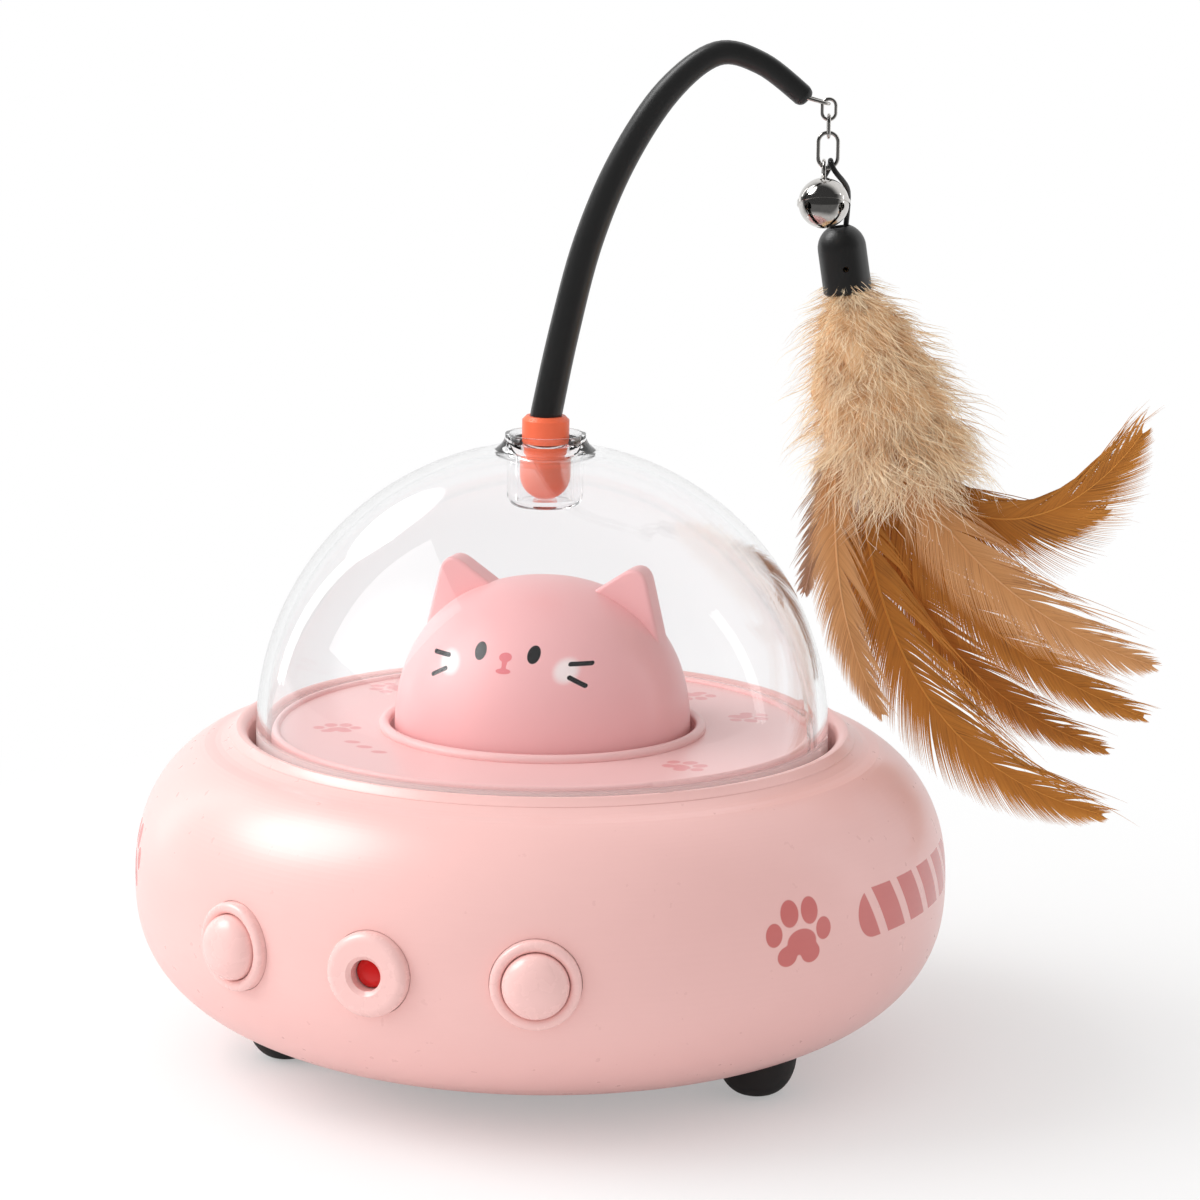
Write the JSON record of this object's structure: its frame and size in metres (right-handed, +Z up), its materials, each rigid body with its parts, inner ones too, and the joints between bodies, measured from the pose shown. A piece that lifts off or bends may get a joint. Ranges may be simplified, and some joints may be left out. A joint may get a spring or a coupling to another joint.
{
  "type": "cat saucer toy",
  "caption": "Saucer-shaped cat toy: rounded base on rubber feet with front buttons and a light window, cat head under a clear turning dome, arched wand with bell and feather lure.",
  "frame": {"origin": "on the floor, under the saucer's axis", "axes": "+Z up along the turntable's axis, -Y to the front with the light window, +X to the right seen from behind the toy's back"},
  "size_m": [0.1989, 0.1674, 0.2081],
  "materials": {
    "pink_plastic": "soft gloss",
    "rose_plastic": "soft gloss",
    "foot_rubber": "matte",
    "white_plastic": "satin",
    "steel": "plated",
    "board": "solder mask",
    "black_plastic": "satin",
    "black_rod": "satin",
    "orange_silicone": "satin",
    "red_lens": "polished",
    "battery": "shrink wrapped",
    "clear_plastic": "clear polished",
    "chrome": "polished",
    "cord": "waxed",
    "down": "downy",
    "feather": "barbed"
  },
  "bodies": {
    "saucer": {"body_shell": "pink_plastic", "base_plate": "pink_plastic", "base_screws": "steel", "front_left_foot": "foot_rubber", "front_right_foot": "foot_rubber", "rear_foot": "foot_rubber", "chassis": "white_plastic", "deck": "rose_plastic", "deck_screws": "steel", "cat_head": "rose_plastic", "left_bezel": "pink_plastic", "right_bezel": "pink_plastic", "left_switch_board": "board", "right_switch_board": "board", "left_switch": "black_plastic", "right_switch": "black_plastic", "laser_bezel": "pink_plastic", "laser_barrel": "black_plastic", "laser_lens": "red_lens", "battery": "battery", "main_board": "board", "board_parts": "black_plastic", "charge_board": "board", "charge_socket": "steel", "spin_motor": "steel", "motor_screws": "steel"},
    "turntable": {"dome": "clear_plastic", "ring_gear": "white_plastic", "socket_clip": "black_plastic"},
    "pinion": {"drive_pinion": "white_plastic", "motor_shaft": "steel"},
    "left_button": {"left_button_cap": "pink_plastic", "left_plunger": "black_plastic"},
    "right_button": {"right_button_cap": "pink_plastic", "right_plunger": "black_plastic"},
    "wand": {"wand_plug": "orange_silicone", "wand_rod": "black_rod", "tip_eye": "chrome"},
    "chain_upper": {"upper_link": "chrome"},
    "chain_middle": {"middle_link": "chrome"},
    "chain_lower": {"lower_link": "chrome"},
    "bell": {"bell_upper": "chrome", "bell_lower": "chrome", "bell_pellet": "steel"},
    "lure": {"lure_cord": "cord", "lure_cap": "black_plastic", "down_skirt": "down", "feather_1": "feather", "feather_2": "feather", "feather_3": "feather", "feather_4": "feather", "feather_5": "feather", "feather_6": "feather", "feather_7": "feather", "feather_8": "feather", "feather_9": "feather"}
  },
  "joints": [
    {"name": "dome_spin", "type": "hinge", "parent": "saucer", "child": "turntable", "pos_m": [0, 0, 0.06835], "axis": [0, 0, 1], "continuous": true},
    {"name": "pinion_spin", "type": "hinge", "parent": "saucer", "child": "pinion", "pos_m": [0, 0.04, 0.05065], "axis": [0, 0, 1], "continuous": true},
    {"name": "left_button_press", "type": "slide", "parent": "saucer", "child": "left_button", "axis": [0.3827, 0.9239, 0], "range_m": [0, 0.001], "stiffness_N_per_m": 1000, "springref_m": -0.0006},
    {"name": "right_button_press", "type": "slide", "parent": "saucer", "child": "right_button", "axis": [-0.3827, 0.9239, 0], "range_m": [0, 0.001], "stiffness_N_per_m": 1000, "springref_m": -0.0006},
    {"name": "wand_pull", "type": "slide", "parent": "turntable", "child": "wand", "axis": [0, 0, 1], "range_m": [0, 0.022]},
    {"name": "upper_link_swing", "type": "hinge", "parent": "wand", "child": "chain_upper", "pos_m": [0.051, 0.02165, 0.19539], "axis": [0.3907, -0.9205, 0], "range_deg": [0, 20]},
    {"name": "middle_link_swing", "type": "hinge", "parent": "chain_upper", "child": "chain_middle", "pos_m": [0.051, 0.02165, 0.19224], "axis": [0.9205, 0.3907, 0], "range_deg": [-3, 12]},
    {"name": "lower_link_swing", "type": "hinge", "parent": "chain_middle", "child": "chain_lower", "pos_m": [0.051, 0.02165, 0.18869], "axis": [0.3907, -0.9205, 0], "range_deg": [0, 20]},
    {"name": "bell_swing", "type": "hinge", "parent": "chain_lower", "child": "bell", "pos_m": [0.05026, 0.02133, 0.18286], "axis": [0.9205, 0.3907, 0], "range_deg": [-25, 0]},
    {"name": "lure_swing", "type": "hinge", "parent": "chain_lower", "child": "lure", "pos_m": [0.0515, 0.02186, 0.18277], "axis": [0.9205, 0.3907, 0], "range_deg": [0, 14]}
  ],
  "couplings": [
    {"joint": "pinion_spin", "follows": "dome_spin", "ratio": 6}
  ]
}
